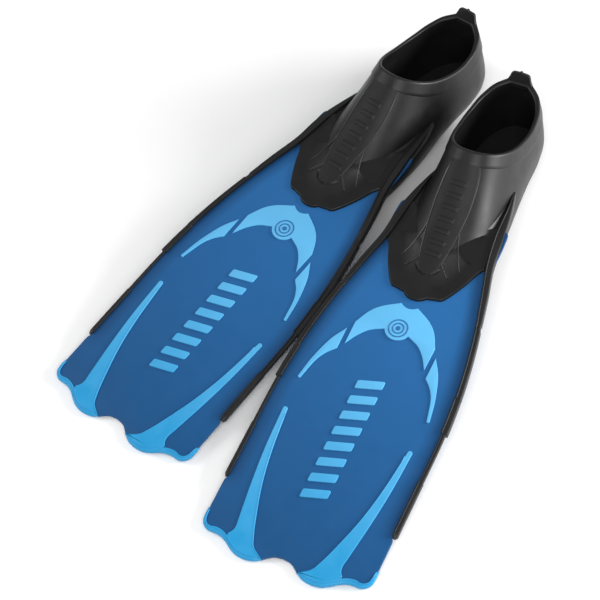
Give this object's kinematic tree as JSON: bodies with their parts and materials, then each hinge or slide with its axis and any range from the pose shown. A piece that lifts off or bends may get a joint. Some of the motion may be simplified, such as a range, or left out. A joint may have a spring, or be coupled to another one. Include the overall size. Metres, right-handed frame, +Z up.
{
  "type": "swim fins",
  "caption": "Full-foot swim fins: flexing blade with stepped side rails, scalloped tip, raised inlays and a closed rubber foot pocket with a heel tab.",
  "frame": {"origin": "centre of the bottom of the box round the pair, on the floor", "axes": "+X across the pair to the wearer-side right, +Y from the blade tips to the heels, +Z up from the floor"},
  "size_m": [0.4302, 0.6848, 0.1204],
  "materials": {
    "blade_plastic": "moulded polypropylene, satin",
    "light_rubber": "bright blue bonded elastomer, satin",
    "badge_plastic": "moulded disc, satin",
    "rail_rubber": "black elastomer, satin",
    "pocket_rubber": "black elastomer, fine grain, semi matte",
    "panel_rubber": "black elastomer, soft matte",
    "lining_rubber": "dark inner sole, matte",
    "tread_rubber": "black tread rubber, matte"
  },
  "bodies": {
    "fin_a_foot": {"fin_a_footbed": "lining_rubber", "fin_a_heel_pad": "tread_rubber", "fin_a_instep_panel": "panel_rubber", "fin_a_instep_ribs": "panel_rubber", "fin_a_outsole": "tread_rubber", "fin_a_pocket_upper": "pocket_rubber", "fin_a_rail_root_left": "rail_rubber", "fin_a_rail_root_right": "rail_rubber", "fin_a_rim_collar": "pocket_rubber", "fin_a_root_plate": "blade_plastic", "fin_a_toe_apron": "pocket_rubber", "fin_a_tread_ribs": "tread_rubber"},
    "fin_a_blade": {"fin_a_accent_bars": "light_rubber", "fin_a_arch": "light_rubber", "fin_a_badge": "badge_plastic", "fin_a_blade_panel": "blade_plastic", "fin_a_lip_left": "light_rubber", "fin_a_lip_right": "light_rubber", "fin_a_rail_left": "rail_rubber", "fin_a_rail_right": "rail_rubber", "fin_a_tail_left": "light_rubber", "fin_a_tail_right": "light_rubber"},
    "fin_a_tab": {"fin_a_pull_tab": "pocket_rubber"},
    "fin_b_foot": {"fin_b_footbed": "lining_rubber", "fin_b_heel_pad": "tread_rubber", "fin_b_instep_panel": "panel_rubber", "fin_b_instep_ribs": "panel_rubber", "fin_b_outsole": "tread_rubber", "fin_b_pocket_upper": "pocket_rubber", "fin_b_rail_root_left": "rail_rubber", "fin_b_rail_root_right": "rail_rubber", "fin_b_rim_collar": "pocket_rubber", "fin_b_root_plate": "blade_plastic", "fin_b_toe_apron": "pocket_rubber", "fin_b_tread_ribs": "tread_rubber"},
    "fin_b_blade": {"fin_b_accent_bars": "light_rubber", "fin_b_arch": "light_rubber", "fin_b_badge": "badge_plastic", "fin_b_blade_panel": "blade_plastic", "fin_b_lip_left": "light_rubber", "fin_b_lip_right": "light_rubber", "fin_b_rail_left": "rail_rubber", "fin_b_rail_right": "rail_rubber", "fin_b_tail_left": "light_rubber", "fin_b_tail_right": "light_rubber"},
    "fin_b_tab": {"fin_b_pull_tab": "pocket_rubber"}
  },
  "joints": [
    {"name": "fin_a_blade_flex", "type": "hinge", "parent": "fin_a_foot", "child": "fin_a_blade", "pos_m": [-0.08485, 0.04077, 0.04391], "axis": [0.993, -0.1184, 0], "range_deg": [-22, 22], "stiffness_Nm_per_rad": 28},
    {"name": "fin_a_tab_bend", "type": "hinge", "parent": "fin_a_foot", "child": "fin_a_tab", "pos_m": [-0.05048, 0.32903, 0.08764], "axis": [0.993, -0.1184, 0], "range_deg": [-45, 40], "stiffness_Nm_per_rad": 0.4},
    {"name": "fin_b_lift", "type": "slide", "parent": "fin_a_foot", "child": "fin_b_foot", "axis": [0, 0, 1], "range_m": [0, 0.3]},
    {"name": "fin_b_blade_flex", "type": "hinge", "parent": "fin_b_foot", "child": "fin_b_blade", "pos_m": [0.08485, -0.01323, 0.04391], "axis": [0.993, 0.1184, 0], "range_deg": [-22, 22], "stiffness_Nm_per_rad": 28},
    {"name": "fin_b_tab_bend", "type": "hinge", "parent": "fin_b_foot", "child": "fin_b_tab", "pos_m": [0.05048, 0.27503, 0.08764], "axis": [0.993, 0.1184, 0], "range_deg": [-45, 40], "stiffness_Nm_per_rad": 0.4}
  ]
}
